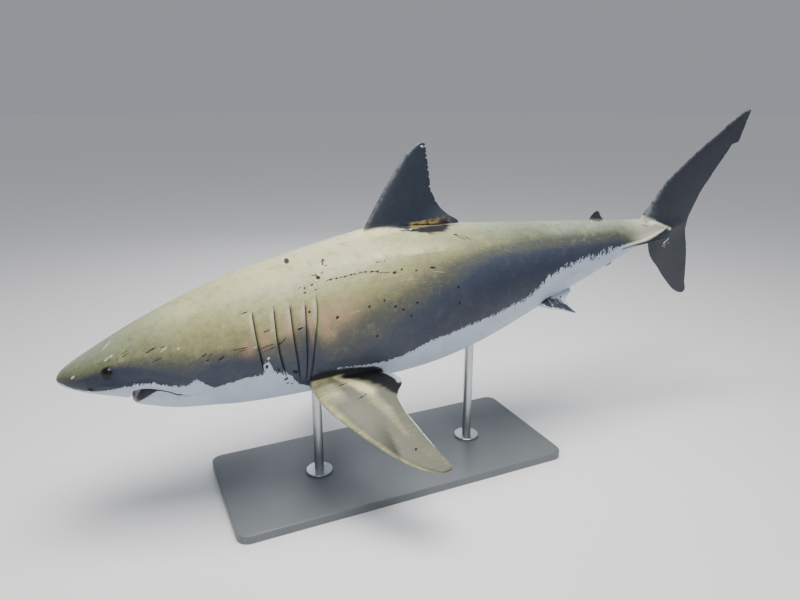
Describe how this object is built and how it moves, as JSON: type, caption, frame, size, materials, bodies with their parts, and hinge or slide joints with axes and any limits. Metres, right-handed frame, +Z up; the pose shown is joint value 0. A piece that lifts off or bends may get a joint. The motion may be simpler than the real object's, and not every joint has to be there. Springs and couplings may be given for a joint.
{
  "type": "great white shark",
  "caption": "Still, life-size great white shark swimming nose slightly down with its tail leaning, held over a flat base by short rods.",
  "frame": {"origin": "middle of the underside of the display stand's base, on the floor", "axes": "+X towards the snout, +Y to the animal's left, +Z up"},
  "size_m": [3.9761, 1.5818, 1.95],
  "materials": {
    "skin": "satin wet skin, grey above and white below",
    "eye": "glossy black",
    "mouth": "moist lining",
    "tooth": "glossy enamel",
    "stand_base": "satin pale grey paint",
    "stand_rod": "brushed"
  },
  "bodies": {
    "root": {"head": "skin", "lower_jaw": "skin", "gill_region": "skin", "trunk_front": "skin", "trunk_rear": "skin", "tail_stem": "skin", "tail_lobe_upper": "skin", "tail_lobe_lower": "skin", "dorsal_fin": "skin", "second_dorsal_fin": "skin", "anal_fin": "skin", "pectoral_fin_left": "skin", "pectoral_fin_right": "skin", "pelvic_fin_left": "skin", "pelvic_fin_right": "skin", "eye_left": "eye", "eye_right": "eye", "stand_base": "stand_base", "stand_rod_front": "stand_rod", "stand_rod_rear": "stand_rod"}
  },
  "joints": []
}
